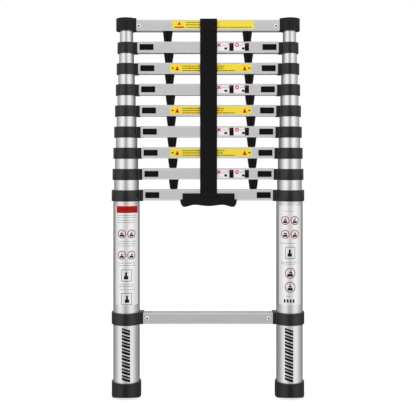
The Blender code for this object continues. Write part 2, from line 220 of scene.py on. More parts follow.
def webbing():
    """Woven polypropylene webbing: warp ribs along the strap, crossed by weft picks."""
    n = Nodes("strap_woven_webbing", roughness=0.85, specular=0.08)
    x, z, y = n.axis(0), n.axis(2), n.axis(1)
    along = n.math("ADD", z, y)
    rib = n.math("ABSOLUTE", n.math("SINE", n.math("MULTIPLY", x, math.pi / 0.0014)))
    side = n.math("SIGN", n.math("SINE", n.math("MULTIPLY", x, math.pi / 0.0014)))
    pick = n.math("ABSOLUTE", n.math("SINE", n.math("MULTIPLY_ADD", along, math.pi / 0.0021, n.math("MULTIPLY", side, 0.8))))
    height = n.math("ADD", n.math("MULTIPLY", rib, 0.7), n.math("MULTIPLY", n.math("MULTIPLY", rib, pick), 0.6))
    fuzz = n.noise(2600, detail=2)
    fade = n.noise((30, 30, 9), detail=3)
    # painted shade: the weave's hollows are coloured darker than its raised ribs; the fade mixed in is random tone
    tone = n.math("ADD", n.math("MULTIPLY", height, 0.7), n.math("MULTIPLY", fade, 0.45))
    n.colour(n.ramp(tone, [(0.15, (0.0016, 0.0016, 0.0017)), (1.0, (0.0095, 0.0095, 0.0098))]))
    n.bump(n.math("ADD", height, n.math("MULTIPLY", fuzz, 0.25)), 0.5, 0.0003)
    return n.mat


def print_film(name, colour, rough=0.36, metallic=0.0, vary=0.06, specular=0.5):
    """Printed vinyl or ink, with a slight orange-peel and uneven tone."""
    n = Nodes(name, metallic=metallic, specular=specular)
    cloud = n.noise(60, detail=3)
    dim = tuple(c * (1 - vary) for c in colour)
    n.colour(n.mix(cloud, dim, colour))
    n.roughness(n.noise(400, detail=2), rough - 0.06, rough + 0.08)
    n.bump(n.noise(900, detail=1), 0.08, 0.00005)
    return n.mat


def tube_film_painted_edge_sheen(name, colour, rough=0.36):
    """The tube labels' silvery film. Painted sheen: it turns less metallic, and so paler, towards its edges, where it
    is seen at a slant.
    """
    n = Nodes(name)
    cloud = n.noise(60, detail=3)
    n.colour(n.mix(cloud, tuple(c * 0.97 for c in colour), colour))
    round_tube = n.math("ABSOLUTE", n.math("SUBTRACT", n.math("ABSOLUTE", n.axis(0)), TUBE_X))
    # painted sheen: the metallic factor falls towards the film's edges, so they show the pale base colour
    edge = n.math("MULTIPLY_ADD", round_tube, 1 / (0.36 * TUBE_R[LAST]), -0.52 / 0.36, clamp=True)
    n.link(n.math("MULTIPLY_ADD", edge, -0.50, 0.86), n.bsdf.inputs["Metallic"])
    n.roughness(n.noise(400, detail=2), rough - 0.06, rough + 0.08)
    n.bump(n.noise(900, detail=1), 0.08, 0.00005)
    return n.mat


def steel(name, tone, rough, metallic=1.0):
    n = Nodes(name, metallic=metallic)
    spin = n.noise((1200, 1200, 1200), detail=2)
    n.colour(n.ramp(spin, [(0.3, tone * 0.85), (0.8, tone)]))
    n.roughness(spin, rough - 0.06, rough + 0.1)
    n.bump(spin, 0.15, 0.00005)
    return n.mat


M = {
    "tube": drawn_tube("tube_drawn_aluminium", 0.20, 0.34, 1.0),
    "tube_base": drawn_tube("base_tube_drawn_aluminium", 0.27, 0.42, 0.97),
    "rung": extruded_rung("rung_extruded_aluminium", 0.80),
    # painted shade: the lowest rung gets a darker copy of the rung material
    "rung_painted_shade": extruded_rung("base_rung_painted_shade_aluminium", 0.70),
    "collar": moulded("collar_moulded_nylon", 0.0013, 0.0026, 0.155, strength=0.10, specular=0.60),
    "cap": moulded("cap_moulded_nylon", 0.0030, 0.0050, 0.42, specular=0.30),
    "spacer": moulded("spacer_moulded_plastic", 0.0007, 0.0014, 0.19, strength=0.10, specular=0.15),
    "latch": moulded("latch_moulded_plastic", 0.0018, 0.0030, 0.46, specular=0.16),
    "bezel": moulded("latch_bezel_plastic", 0.0015, 0.0026, 0.5, specular=0.14),
    "rubber": moulded("foot_moulded_rubber", 0.0011, 0.0022, 0.165, grain=1100, strength=0.11, specular=0.48),
    "sole": moulded("foot_sole_rubber", 0.0020, 0.0040, 0.75, grain=900, strength=0.4, specular=0.10),
    "handle": moulded("handle_moulded_plastic", 0.0020, 0.0040, 0.42, specular=0.22),
    "strap": webbing(),
    "thread": print_film("strap_thread", (0.008, 0.008, 0.0085), 0.7),
    "pin": steel("pin_steel", 0.55, 0.3),
    # rivet head: aluminium made partly matt near-white, a painted highlight that makes the head read as a bright ring
    "rivet": steel("rivet_aluminium_painted_highlight", 0.97, 0.26, metallic=0.55),
    # rivet core: near-black, painted shade in the rivet's hollow
    "rivet_core": steel("rivet_core_painted_shade", 0.02, 0.5),
    "yellow": print_film("label_yellow", (0.73, 0.575, 0.026)),
    "white": print_film("label_white", (0.71, 0.70, 0.715)),
    # tube label film, with a painted sheen towards its edges
    "film": tube_film_painted_edge_sheen("tube_label_film_painted_edge_sheen", (0.93, 0.93, 0.935)),
    "red": print_film("label_red", (0.50, 0.006, 0.008), specular=0.12),
    "red_ink": print_film("label_red_ink", (0.30, 0.008, 0.010), specular=0.2),
    "band": print_film("label_red_band", (0.37, 0.003, 0.002), 0.24, specular=0.14),
    "band_ink": print_film("label_band_ink", (0.14, 0.004, 0.003), specular=0.2),
    "ochre": print_film("label_ochre_ink", (0.10, 0.072, 0.010)),
    "grey_ink": print_film("label_grey_ink", (0.17, 0.17, 0.18)),
    "moss_ink": print_film("label_moss_ink", (0.045, 0.042, 0.012)),
    "black_ink": print_film("label_black_ink", (0.0025, 0.0025, 0.003), specular=0.15),
}


# ------------------------------------------------------------------ mesh helpers
def new_piece(name, bm, mats, body, slot, angle=35, replaces=()):
    """A finished piece: shaded, given its materials, and riding on its body."""
    bmesh.ops.recalc_face_normals(bm, faces=bm.faces)
    mesh = bpy.data.meshes.new(name)
    bm.to_mesh(mesh)
    bm.free()
    mesh.shade_smooth()
    mesh.set_sharp_from_angle(angle=math.radians(angle))
    for m in mats if isinstance(mats, (list, tuple)) else [mats]:
        mesh.materials.append(m)
    o = bpy.data.objects.new(name, mesh)
    bpy.context.scene.collection.objects.link(o)
    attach(o, body)
    # the tubes mirror the studio, not the black parts that hang between the stiles: their reflections would break up the
    # smooth inner edges
    if slot in ("strap_webbing", "handle_plastic") or "_spacer_" in name:
        o.visible_glossy = False
    if replaces:
        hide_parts(*replaces)
    return o


def skin(bm, rows, closed=True, caps=False, material=0):
    """Rings of points with equal counts, joined in order into a surface. closed also joins the last ring to the first."""
    made = [[bm.verts.new(p) for p in row] for row in rows]
    pairs = list(zip(made, made[1:])) + ([(made[-1], made[0])] if closed else [])
    faces = []
    for a, b in pairs:
        for i in range(len(a)):
            j = (i + 1) % len(a)
            faces.append(bm.faces.new((a[i], a[j], b[j], b[i])))
    if caps:
        faces.append(bm.faces.new(made[0]))
        faces.append(bm.faces.new(list(reversed(made[-1]))))
    for f in faces:
        f.material_index = material
    return faces


def ring(r, z, cx, cy=0.0, n=96):
    return [(cx + r * math.cos(a), cy + r * math.sin(a), z) for a in (i * 2 * math.pi / n for i in range(n))]


def arc(cx, cy, r, a0, a1, n):
    return [(cx + r * math.cos(a), cy + r * math.sin(a)) for a in (a0 + (a1 - a0) * i / n for i in range(n + 1))]


def inset(outline, d):
    """The outline moved inwards by d (a number, or one per point). The outline runs anticlockwise."""
    out = []
    count = len(outline)
    for i, p in enumerate(outline):
        a, b = Vector(outline[i - 1]), Vector(outline[(i + 1) % count])
        here = Vector(p)
        e0, e1 = (here - a), (b - here)
        n0 = Vector((-e0.y, e0.x)).normalized()
        n1 = Vector((-e1.y, e1.x)).normalized()
        m = (n0 + n1)
        m = m / max(m.dot(n0), 0.3)
        step = d[i] if isinstance(d, (list, tuple)) else d
        out.append((here.x + m.x * step, here.y + m.y * step))
    return out


def temp_object(bm, name):
    bmesh.ops.recalc_face_normals(bm, faces=bm.faces)
    mesh = bpy.data.meshes.new(name)
    bm.to_mesh(mesh)
    bm.free()
    o = bpy.data.objects.new(name, mesh)
    bpy.context.scene.collection.objects.link(o)
    return o


def apply_booleans(bm, cuts=(), joins=()):
    """The mesh after exact unions and cuts, as a new bmesh."""
    base = temp_object(bm, "work")
    used = [base]
    for operation, tools in (("UNION", joins), ("DIFFERENCE", cuts)):
        if not tools:
            continue
        group = bpy.data.collections.new("work_" + operation)
        for t in tools:
            o = temp_object(t, "work_tool")
            used.append(o)
            group.objects.link(o)
        m = base.modifiers.new(operation, "BOOLEAN")
        m.operand_type = "COLLECTION"
        m.collection = group
        m.operation = operation
        m.solver = "EXACT"
    bpy.context.view_layer.update()
    graph = bpy.context.evaluated_depsgraph_get()
    mesh = bpy.data.meshes.new_from_object(base.evaluated_get(graph))
    out = bmesh.new()
    out.from_mesh(mesh)
    for o in used:
        bpy.data.objects.remove(o)
    for g in [c for c in bpy.data.collections if c.name.startswith("work_")]:
        bpy.data.collections.remove(g)
    return out


def rounded_rect(w, h, r, n=5):
    """Anticlockwise (x, y) outline, centred."""
    pts = []
    for cx, cy, a in ((w / 2 - r, h / 2 - r, 0), (-w / 2 + r, h / 2 - r, 90), (-w / 2 + r, -h / 2 + r, 180), (w / 2 - r, -h / 2 + r, 270)):
        pts += arc(cx, cy, r, math.radians(a), math.radians(a + 90), n)
    return pts


def block(lo, hi, r=0.0006, n=3):
    """A box with rounded edges: a rounded outline in X-Z, filleted at the front and back."""
    bm = bmesh.new()
    w, h = hi[0] - lo[0], hi[2] - lo[2]
    cx, cz = (hi[0] + lo[0]) / 2, (hi[2] + lo[2]) / 2
    outline = rounded_rect(w, h, max(r * 1.5, 0.0004))
    rows = []
    for i in range(n + 1):
        a = math.pi / 2 * i / n
        rows.append((inset(outline, r * (1 - math.sin(a))), lo[1] + r * (1 - math.cos(a))))
    for i in range(n + 1):
        a = math.pi / 2 * i / n
        rows.append((inset(outline, r * (1 - math.cos(a))), hi[1] - r * (1 - math.sin(a))))
    skin(bm, [[(cx + x, y, cz + z) for x, z in row] for row, y in rows], closed=False, caps=True)
    return bm


def rod(x0, x1, y, z, r, n=32, chamfer=0.0):
    bm = bmesh.new()
    stations = [(x0, r - chamfer), (x0 + math.copysign(chamfer, x1 - x0), r), (x1, r)] if chamfer else [(x0, r), (x1, r)]
    rows = [[(x, y + q * math.cos(a), z + q * math.sin(a)) for a in (i * 2 * math.pi / n for i in range(n))] for x, q in stations]
    skin(bm, rows, closed=False, caps=True)
    return bm


# ------------------------------------------------------------------ tubes
def build_tubes():
    for k in range(1, LAST + 1):
        for side in SIDES:
            node = f"{side}_tube_{k}"
            low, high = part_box(node)
            cx = mid(node).x
            r = TUBE_R[k]
            c = 0.0004
            profile = [(r - c, low.z), (r, low.z + c), (r, high.z - c), (r - c, high.z), (r - WALL + c, high.z), (r - WALL, high.z - c),
                       (r - WALL, low.z + c), (r - WALL + c, low.z)]
            bm = bmesh.new()
            skin(bm, [ring(q, z, cx) for q, z in profile])
            if k < LAST:
                inward = -math.copysign(1, cx)
                cuts = [rod(cx + inward * (r - 0.006), cx + inward * (r + 0.004), 0, z, 0.0045)
                        for z in (RUNG_Z[k] - 0.300, RUNG_Z[k] - (RUNG_Z[k] - RUNG_Z[k + 1]))]
                bm = apply_booleans(bm, cuts=cuts)
            new_piece(f"{side}_tube_{k}_drawn", bm, M["tube_base" if k == LAST else "tube"], STAGE[k], "tube_aluminium", angle=30, replaces=[node])


# ------------------------------------------------------------------ rungs
def rung_profile():
    """(y, z) outline, anticlockwise seen from +X, of the extrusion: ribbed tread, bevelled front and back edges."""
    d, h = RUNG_Y, RUNG_H
    top, low, low_in, rr = 0.0020, 0.0036, 0.0022, 0.0005
    corners = [(-d, h - top), (-d, -h + low), (-d + low_in, -h), (d - low_in, -h), (d, -h + low), (d, h - top), (d - top, h)]
    ribs = 5
    pitch = 2 * (d - top) / (2 * ribs + 1)
    for i in range(2 * ribs + 1):
        level = h - (0.0008 if i % 2 else 0)
        y0, y1 = d - top - i * pitch, d - top - (i + 1) * pitch
        if i:
            corners.append((y0, level))
        corners.append((y1, level))
    out = []
    for i, p in enumerate(corners):
        a, b = Vector(corners[i - 1]), Vector(corners[(i + 1) % len(corners)])
        here = Vector(p)
        cut = min(rr, 0.0003 if i > 6 else rr, (a - here).length * 0.4, (b - here).length * 0.4)
        p0, p1 = here + (a - here).normalized() * cut, here + (b - here).normalized() * cut
        for t in (0, 0.5, 1):
            q = p0.lerp(here, t).lerp(here.lerp(p1, t), t)
            out.append((q.x, q.y))
    return out


def build_rungs():
    outline = rung_profile()
    for k in range(1, 11):
        half, z0 = RUNG_HALF[k], RUNG_Z[k]
        bm = bmesh.new()
        rows = [[(x, y, z0 + z) for y, z in outline] for x in (-half, half)]
        skin(bm, rows, closed=False, caps=True)
        wall = 0.0020
        yi, zi, b = RUNG_Y - wall, RUNG_H - wall, 0.0020
        inner = [(yi, zi), (-yi, zi), (-yi, -zi + b), (-yi + b, -zi), (yi - b, -zi), (yi, -zi + b)]
        bore = bmesh.new()
        skin(bore, [[(x, y, z0 + z) for y, z in inner] for x in (-half - 0.01, half + 0.01)], closed=False, caps=True)
        cuts = [bore]
        if 2 <= k <= LAST:
            for s in (-1, 1):
                cx = s * (half + GAP - 0.0055 - 0.017)
                w = bmesh.new()
                hole = rounded_rect(0.034, 0.0145, 0.0012)
                skin(w, [[(cx + x, y, z0 + z) for x, z in hole] for y in (-RUNG_Y - 0.01, -RUNG_Y + 0.004)], closed=False, caps=True)
                cuts.append(w)
        bm = apply_booleans(bm, cuts=cuts)
        # rung 10 takes the darker copy of the rung material: painted shade
        new_piece(f"rung_{k}_extrusion", bm, M["rung_painted_shade" if k == 10 else "rung"], STAGE[min(k, LAST)], "rung_aluminium", angle=25,
                  replaces=[f"rung_{k}"])


# ------------------------------------------------------------------ collars, caps and clamps
def collar_outline(r, face, half=0.0157, n_arc=72):
    """Plan outline about the stile's axis with the boss towards +X, anticlockwise: a ring blended into a square boss."""
    fillet, corner = 0.0030, 0.0010
    xf = math.sqrt((r + fillet) ** 2 - (half + fillet) ** 2)
    xf = min(xf, face - corner - 0.0004)
    phi = math.atan2(half + fillet, math.sqrt((r + fillet) ** 2 - (half + fillet) ** 2))
    a_line = -math.pi / 2
    pts = arc(0, 0, r, phi, 2 * math.pi - phi, n_arc)
    cxf, cyf = (r + fillet) * math.cos(phi), (r + fillet) * math.sin(phi)
    low = arc(cxf, -cyf, fillet, math.pi - phi, math.pi / 2, 5)[1:]
    high = arc(cxf, cyf, fillet, -math.pi / 2, -math.pi + phi, 5)[:-1]
    low = [p for p in low if p[0] < face - corner - 0.0002]
    high = [p for p in high if p[0] < face - corner - 0.0002]
    pts += low
    pts += arc(face - corner, -half + corner, corner, -math.pi / 2, 0, 4)
    pts += arc(face - corner, half - corner, corner, 0, math.pi / 2, 4)
    pts += high
    return pts


def at_stile(pts, s, z):
    """Plan points about the stile's axis with +X towards the ladder's middle, placed on the left (-1) or right (+1) stile."""
    return [(s * (TUBE_X - x), y, z) for x, y in pts]


def bore_ring(outline, r):
    """Points of a circle at the same bearings as the outline's points."""
    out = []
    for x, y in outline:
        a = math.atan2(y, x)
        out.append((r * math.cos(a), r * math.sin(a)))
    return out


def fillet_rows(outline, radius, z_top, sign, steps=4):
    """Rows that round an outline's edge: from inset at z_top to the full outline below (sign -1) or above (+1) it."""
    rows = []
    for i in range(steps + 1):
        a = math.pi / 2 * i / steps
        rows.append((inset(outline, radius * (1 - math.sin(a))), z_top + sign * radius * (1 - math.cos(a))))
    return rows


def build_mouldings():
    for k in range(1, 11):
        z0 = RUNG_Z[k]
        tube = TUBE_R[min(k, LAST)]
        face = FACE[k]
        node = "top_caps" if k == 1 else "base_clamps" if k == 10 else f"collars_{k}"
        body = STAGE[min(k, LAST)]
        for s, side in zip((-1, 1), SIDES):
            if k == 1:
                outline = collar_outline(CAP_R, face)
                top, bottom = CAP_TOP, CAP_BOTTOM
                rows = [(bore_ring(outline, CAP_R - 0.0078), top - 0.0006), (bore_ring(outline, CAP_R - 0.0072), top - 0.0007),
                        (bore_ring(outline, CAP_R - 0.0066), top - 0.0002), (bore_ring(outline, CAP_R - 0.0060), top)]
                rows += fillet_rows(outline, 0.0016, top, -1, 6)
                rows += list(reversed(fillet_rows(outline, 0.0012, bottom, 1)))
                bore = tube + GAP
                rows += [(bore_ring(outline, bore + 0.0006), bottom), (bore_ring(outline, bore), bottom + 0.0006),
                         (bore_ring(outline, bore), CAP_ROOF), (bore_ring(outline, bore - 0.004), CAP_ROOF + 0.0001)]
                bm = bmesh.new()
                skin(bm, [at_stile(p, s, z) for p, z in rows], closed=False, caps=True)
                name = f"{side}_top_cap"
            else:
                up, down = (CLAMP_UP, CLAMP_DOWN) if k == 10 else (COLLAR_UP, COLLAR_DOWN)
                outline = collar_outline(tube + COLLAR_WALL, face)
                bore = tube + GAP
                if k == 10:
                    above, shoulder = bore, z0
                else:
                    above, shoulder = TUBE_R[k - 1] + 0.0005, z0 - 0.0065 + GAP
                rows = fillet_rows(outline, 0.0011, z0 + up, -1)
                rows += list(reversed(fillet_rows(outline, 0.0011, z0 - down, 1)))
                rows += [(bore_ring(outline, bore + 0.0005), z0 - down), (bore_ring(outline, bore), z0 - down + 0.0005),
                         (bore_ring(outline, bore), shoulder), (bore_ring(outline, above), shoulder + 0.0001),
                         (bore_ring(outline, above), z0 + up - 0.0006), (bore_ring(outline, above + 0.0006), z0 + up)]
                bm = bmesh.new()
                skin(bm, [at_stile(p, s, z) for p, z in rows])
                if 2 <= k <= LAST:
                    x0, x1 = s * (TUBE_X - tube + 0.006), s * (TUBE_X - face - 0.003)
                    bm = apply_booleans(bm, cuts=[rod(x0, x1, 0, z0, 0.0044, 24)])
                name = f"{side}_base_clamp" if k == 10 else f"{side}_collar_{k}"
            new_piece(name, bm, M["cap" if k == 1 else "collar"], body, "black_plastic", angle=32,
                      replaces=[node] if s < 0 else ())


def build_spacers():
    for k in range(1, LAST):
        z0 = RUNG_Z[k]
        top, low = z0 - RUNG_H - 0.0001, RUNG_Z[k + 1] + RUNG_H + 0.0006
        for s, side in zip((-1, 1), SIDES):
            cx = spacer_x(k)[(s + 1) // 2]
            r0, r1 = 0.0122, 0.0090
            tall = top - low

            def r_at(z):
                t = (top - z) / tall
                return r0 + (r1 - r0) * t

            profile = [(0.0040, top), (r0 - 0.0006, top), (r0, top - 0.0006), (r0, top - 0.0018), (r_at(top - 0.0022) - 0.0004, top - 0.0024)]
            profile += [(r_at(top - tall * f), top - tall * f) for f in (0.2, 0.4, 0.6, 0.8, 0.93)]
            profile += [(r1 - 0.0004, low + 0.0006), (r1 - 0.0012, low), (0.0062, low), (0.0058, low + 0.0008), (0.0058, low + 0.006), (0.0040, low + 0.0062)]
            bm = bmesh.new()
            skin(bm, [ring(r, z, cx, 0, 48) for r, z in profile], closed=False, caps=True)
            new_piece(f"{side}_spacer_{k}", bm, M["spacer"], STAGE[k], "black_plastic", angle=30)


# ------------------------------------------------------------------ latches
def build_latches():
    shared = {}
    for k in range(2, LAST + 1):
        z0 = RUNG_Z[k]
        face = FACE[k]
        for s, side in zip((-1, 1), SIDES):
            edge = s * (TUBE_X - face)           # the boss face

            def xs(u0, u1):
                a, b = edge - s * u0, edge - s * u1
                return min(a, b), max(a, b)

            # the moulded bezel that lines the window
            cx = edge - s * 0.0225
            outer, inner = rounded_rect(0.0336, 0.0141, 0.0011), rounded_rect(0.0296, 0.0118, 0.0009)
            front, back = -RUNG_Y - 0.0006, -RUNG_Y + 0.0019
            rows = []
            for d, y in ((0.0005, front), (0.00015, front + 0.00015), (0.0, front + 0.0005), (0.0, back)):
                rows.append([(cx + x, y, z0 + z) for x, z in inset(outer, d)])
            for d, y in ((0.0, back), (0.0, front + 0.0004), (-0.00015, front + 0.0001), (-0.0004, front)):
                rows.append([(cx + x, y, z0 + z) for x, z in inset(inner, d)])
            bm = bmesh.new()
            skin(bm, rows)
            new_piece(f"{side}_latch_bezel_{k}", bm, M["bezel"], STAGE[k], "latch_plastic", angle=30)

            # the slide: thumb pad with grip ribs, plate, link and pin
            plate_x = xs(0.003, 0.042)
            bm = block((plate_x[0], -0.0136, z0 - 0.0090), (plate_x[1], -0.0114, z0 + 0.0090), 0.0004)
            pad_x = xs(0.011, 0.032)
            joins = [block((pad_x[0], -0.0168, z0 - 0.0055), (pad_x[1], -0.0120, z0 + 0.0055), 0.0008)]
            for i in range(6):
                x = pad_x[0] + 0.0035 + i * 0.0028
                joins.append(block((x - 0.00055, -0.0174, z0 - 0.0047), (x + 0.00055, -0.0150, z0 + 0.0047), 0.0003, 2))
            web_x = xs(0.006, 0.014)
            joins.append(block((web_x[0], -0.0130, z0 - 0.0036), (web_x[1], 0.003, z0 + 0.0036), 0.0003))
            bm = apply_booleans(bm, joins=joins)
            new_piece(f"{side}_latch_slide_{k}", bm, M["latch"], f"{side}_latch_{k}_body", "latch_plastic", angle=30,
                      replaces=[f"{side}_latch_{k}"])
            tip = s * (TUBE_X - TUBE_R[k - 1] - 0.0004)
            bm = rod(tip, edge - s * 0.0125, 0, z0, 0.0039, 32, chamfer=0.0006)
            new_piece(f"{side}_latch_pin_{k}", bm, M["pin"], f"{side}_latch_{k}_body", "latch_plastic", angle=30)


# ------------------------------------------------------------------ feet
def build_feet():
    for s, side in zip((-1, 1), SIDES):
        cx = s * TUBE_X
        r, bore = FOOT_R, TUBE_R[LAST] + GAP
        z1 = FOOT_TOP
        rc = 0.0034
        profile = [(0.004, 0.0), (r - rc, 0.0)]
        profile += [(r - rc + rc * math.sin(a), rc * (1 - math.cos(a))) for a in (math.pi / 2 * i / 5 for i in range(1, 6))]
        profile += [(r, 0.0062), (r - 0.0005, 0.0068), (r - 0.0005, 0.0076), (r, 0.0082), (r, z1 - 0.0062), (r - 0.0005, z1 - 0.0056),
                    (r - 0.0005, z1 - 0.0048), (r, z1 - 0.0042), (r, z1 - 0.0016)]
        profile += [(r - 0.0014 * (1 - math.cos(a)), z1 - 0.0014 * (1 - math.sin(a))) for a in (math.pi / 2 * i / 4 for i in range(1, 5))]
        profile += [(bore + 0.0009, z1), (bore + 0.0002, z1 - 0.0005), (bore, z1 - 0.0012), (bore, 0.012), (0.004, 0.012)]
        bm = bmesh.new()
        skin(bm, [ring(q, z, cx) for q, z in profile], closed=False, caps=True)

        def rise(y):
            """The sole is rounded: it lifts to the front and to the back of a narrow flat."""
            return max(0.0, abs(y) - 0.010) * 0.24

        reach = r + 0.012
        comb = [(-reach, -0.02), (-reach, rise(reach))]
        for i in range(7):
            y = (i - 3) * 0.0088
            comb += [(y - 0.0014, rise(y - 0.0014)), (y - 0.0009, rise(y) + 0.0017), (y + 0.0009, rise(y) + 0.0017), (y + 0.0014, rise(y + 0.0014))]
        comb += [(reach, rise(reach)), (reach, -0.02)]
        cutter = bmesh.new()
        skin(cutter, [[(x, y, z) for y, z in comb] for x in (cx - 0.06, cx + 0.06)], closed=False, caps=True)
        bm = apply_booleans(bm, cuts=[cutter])
        bm.normal_update()
        for f in bm.faces:
            f.material_index = int(f.normal.z < -0.25 or f.calc_center_median().z < 0.0095 and abs(f.normal.x) < 0.05 and abs(f.normal.y) > 0.8 and abs(f.calc_center_median().y) < 0.030)
        new_piece(f"{side}_foot_boot", bm, [M["rubber"], M["sole"]], "base", "foot_rubber", angle=32, replaces=[f"{side}_foot"])


# ------------------------------------------------------------------ handle
STRAP_X = 0.0014                          # the strap and the handle sit a little right of the middle


def build_handle():
    low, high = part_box("carry_handle")
    z0 = RUNG_Z[LAST]
    grip, droop, hollow, clip = high.x - 0.0012, 0.0590, 0.0345, 0.0632

    def edge(x):
        if x <= hollow:
            return -0.0254 - 0.0015 * math.cos(math.pi * x / hollow)
        return -0.0264 + 0.0025 * math.cos(math.pi * (x - hollow) / (droop - hollow))

    half = [(i * droop / 40, edge(i * droop / 40)) for i in range(1, 41)]
    shoulder = -0.0115
    half += [(droop + (grip - droop) * math.sin(a), shoulder + (edge(droop) - shoulder) * math.cos(a))
             for a in (i * math.pi / 24 for i in range(1, 12))]
    half += arc(grip - 0.0012, shoulder, 0.0012, 0, math.pi / 2, 3)
    half += [(clip + 0.0016, shoulder + 0.0012)]
    half += [(clip + 0.0004, shoulder + 0.0016), (clip, shoulder + 0.0028)]
    half += arc(clip - 0.0015, 0.0045 - 0.0015, 0.0015, 0, math.pi / 2, 4)
    top = [(x, 0.0045) for x in (0.045, 0.030, 0.015)]
    ring_pts = [(0, edge(0))] + half + top + [(0, 0.0045)]
    outline = ring_pts + [(-x, z) for x, z in reversed(half + top)]
    # anticlockwise in (x, z): it starts at the bottom centre and runs to +x
    yh = high.y
    soft = [0.0042 if z < -0.0128 else 0.0010 for _, z in outline]
    rows = []
    for i in range(7):
        a = math.pi / 2 * i / 6
        rows.append((inset(outline, [q * (1 - math.sin(a)) for q in soft]), [-yh + q * (1 - math.cos(a)) for q in soft]))
    for i in range(7):
        a = math.pi / 2 * i / 6
        rows.append((inset(outline, [q * (1 - math.cos(a)) for q in soft]), [yh - q * (1 - math.sin(a)) for q in soft]))
    bm = bmesh.new()
    skin(bm, [[(x + STRAP_X, y, z0 + z) for (x, z), y in zip(row, ys)] for row, ys in rows], closed=False, caps=True)
    ch = bmesh.new()
    yw = RUNG_Y + 0.0004
    sect = [(-yw, 0.03), (-yw, -RUNG_H - GAP), (yw, -RUNG_H - GAP), (yw, 0.03)]
    skin(ch, [[(x, y, z0 + z) for y, z in sect] for x in (-0.1, 0.1)], closed=False, caps=True)
    bm = apply_booleans(bm, cuts=[ch])
    new_piece("carry_handle_grip", bm, M["handle"], "base", "handle_plastic", angle=34, replaces=["carry_handle"])


# ------------------------------------------------------------------ strap
def strap_section(width, thick, n=24):
    """Cross-section (across, out) of the webbing: nearly flat, with rounded selvedges a little thicker than the middle."""
    pts = []
    w, t = width / 2, thick / 2
    for i in range(n + 1):
        u = -1 + 2 * i / n
        pts.append((u * (w - t), -t * (0.90 + 0.10 * u * u)))
    pts += [(w - t + t * math.cos(a), t * math.sin(a)) for a in (-math.pi / 2 + math.pi * i / 6 for i in range(1, 6))]
    for i in range(n + 1):
        u = 1 - 2 * i / n
        pts.append((u * (w - t), t * (0.90 + 0.10 * u * u)))
    pts += [(-w + t - t * math.cos(a), t * math.sin(a)) for a in (math.pi / 2 - math.pi * i / 6 for i in range(1, 6))]
    return pts


def build_strap():
    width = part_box("strap_tail")[1].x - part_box("strap_tail")[0].x - 0.0006
    z1 = RUNG_Z[1]
    section = [(x + STRAP_X, out) for x, out in strap_section(width, 0.0018)]
    # the loop round rung 1
    low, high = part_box("strap_loop")
    y_mid, z_mid = high.y - 0.0010, (high.z - low.z) / 2 - 0.0010
    path = []
    for y, z, a in ((y_mid, z_mid, 0), (-y_mid, z_mid, 90), (-y_mid, -z_mid, 180), (y_mid, -z_mid, 270)):
        r = 0.0024
        cy, cz = y - math.copysign(r, y), z - math.copysign(r, z)
        path += [((cy + r * math.cos(t), cz + r * math.sin(t)), t) for t in (math.radians(a + 90 * i / 6) for i in range(7))]
    bm = bmesh.new()
    rows = []
    for (y, z), t in path:
        rows.append([(x, y + out * math.cos(t), z1 + z + out * math.sin(t)) for x, out in section])
    skin(bm, rows)
    new_piece("strap_webbing_loop", bm, M["strap"], "stage_1", "strap_webbing", angle=40, replaces=["strap_loop"])
    # the long tail, slightly wavy, with thinned ends and its lower end sewn
    low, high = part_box("strap_tail")
    y0 = (low.y + high.y) / 2
    bm = bmesh.new()
    rows = []
    count = 90
    for i in range(count + 1):
        t = i / count
        z = high.z + (low.z - high.z) * t
        sway = 0.00025 * math.sin(t * 17) * math.sin(math.pi * t)
        twist = 0.00020 * math.sin(t * 9 + 1) * math.sin(math.pi * t)
        squeeze = 1.0 - 0.004 * math.sin(t * 23) ** 2
        thin = 0.35 if i in (0, count) else (0.8 if i in (1, count - 1) else 1.0)
        rows.append([(STRAP_X + (x - STRAP_X) * squeeze, y0 - 0.0001 + sway - out * thin + twist * x / 0.02, z) for x, out in section])
    skin(bm, rows, closed=False, caps=True)
    new_piece("strap_webbing_tail", bm, M["strap"], "strap_body", "strap_webbing", angle=40, replaces=["strap_tail"])
    # sewing: a boxed cross at the top and two rows at the bottom hem
    bm = bmesh.new()

    def stitch(xa, za, xb, zb, pitch=0.0034, length=0.0024):
        a, b = Vector((xa, 0, za)), Vector((xb, 0, zb))
        total = (b - a).length
        n = max(1, round(total / pitch))
        for i in range(n):
            c = a.lerp(b, (i + 0.5) / n)
            d = (b - a).normalized()
            side = Vector((-d.z, 0, d.x))
            pts = []
            for t, w, out in ((-1, 0.3, 0.0), (-0.6, 0.9, 0.6), (0, 1.0, 1.0), (0.6, 0.9, 0.6), (1, 0.3, 0.0)):
                pts.append((c + d * (t * length / 2), w, out))
            rows = []
            for p, w, out in pts:
                row = []
                for j in range(6):
                    ang = j * math.pi / 3
                    q = p + side * (0.00038 * w * math.cos(ang))
                    row.append((STRAP_X + q.x, low.y + 0.0002 - 0.00022 * out - 0.00025 * w * math.sin(ang), q.z))
                rows.append(row)
            skin(bm, rows, closed=False, caps=True)

    xw = width / 2 - 0.0045
    top, bottom = high.z - 0.0035, high.z - 0.0245
    for a, b in (((-xw, top), (xw, top)), ((xw, top), (xw, bottom)), ((xw, bottom), (-xw, bottom)), ((-xw, bottom), (-xw, top)),
                 ((-xw, top), (xw, bottom)), ((-xw, bottom), (xw, top))):
        stitch(a[0], a[1], b[0], b[1])
    for dz in (0.004, 0.0075):
        stitch(-xw, low.z + dz, xw, low.z + dz)
    new_piece("strap_stitching", bm, M["thread"], "strap_body", "strap_webbing", angle=60)


